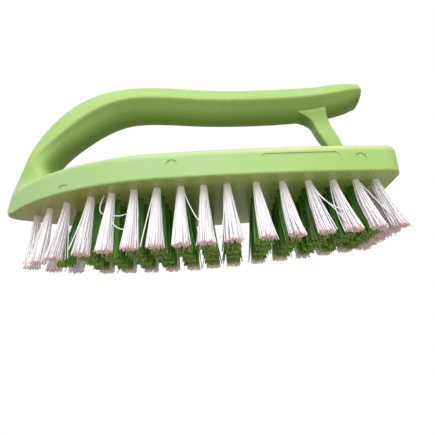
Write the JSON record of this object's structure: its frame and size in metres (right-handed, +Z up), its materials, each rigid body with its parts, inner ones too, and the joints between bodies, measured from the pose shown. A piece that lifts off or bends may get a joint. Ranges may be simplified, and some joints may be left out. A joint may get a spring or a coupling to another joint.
{
  "type": "scrub brush",
  "caption": "Iron-shaped hand scrub brush: a moulded block with an arched handle on a slanted strut, white tufts round the rim and green tufts inside it.",
  "frame": {"origin": "middle of the brush's outline on the plane of the tuft ends it stands on", "axes": "+X along the length from the nose to the heel, +Y across to the right side, +Z up to the handle"},
  "size_m": [0.15, 0.057, 0.0774],
  "materials": {
    "body_plastic": "satin moulded",
    "white_bristle": "drawn filament",
    "green_bristle": "drawn filament",
    "anchor_wire": "rolled wire"
  },
  "bodies": {
    "root": {"brush_body": "body_plastic", "white_tuft_nose": "white_bristle", "white_tuft_left_01": "white_bristle", "white_tuft_left_02": "white_bristle", "white_tuft_left_03": "white_bristle", "white_tuft_left_04": "white_bristle", "white_tuft_left_05": "white_bristle", "white_tuft_left_06": "white_bristle", "white_tuft_left_07": "white_bristle", "white_tuft_left_08": "white_bristle", "white_tuft_left_09": "white_bristle", "white_tuft_left_10": "white_bristle", "white_tuft_left_11": "white_bristle", "white_tuft_left_12": "white_bristle", "white_tuft_left_13": "white_bristle", "white_tuft_left_14": "white_bristle", "white_tuft_left_15": "white_bristle", "white_tuft_right_01": "white_bristle", "white_tuft_right_02": "white_bristle", "white_tuft_right_03": "white_bristle", "white_tuft_right_04": "white_bristle", "white_tuft_right_05": "white_bristle", "white_tuft_right_06": "white_bristle", "white_tuft_right_07": "white_bristle", "white_tuft_right_08": "white_bristle", "white_tuft_right_09": "white_bristle", "white_tuft_right_10": "white_bristle", "white_tuft_right_11": "white_bristle", "white_tuft_right_12": "white_bristle", "white_tuft_right_13": "white_bristle", "white_tuft_right_14": "white_bristle", "white_tuft_right_15": "white_bristle", "white_tuft_heel_1": "white_bristle", "white_tuft_heel_2": "white_bristle", "white_tuft_heel_3": "white_bristle", "white_tuft_heel_4": "white_bristle", "green_tufts_02": "green_bristle", "green_tufts_03": "green_bristle", "green_tufts_04": "green_bristle", "green_tufts_05": "green_bristle", "green_tufts_06": "green_bristle", "green_tufts_07": "green_bristle", "green_tufts_08": "green_bristle", "green_tufts_09": "green_bristle", "green_tufts_10": "green_bristle", "green_tufts_11": "green_bristle", "green_tufts_12": "green_bristle", "green_tufts_13": "green_bristle", "green_tufts_14": "green_bristle", "tuft_anchors": "anchor_wire"}
  },
  "joints": []
}
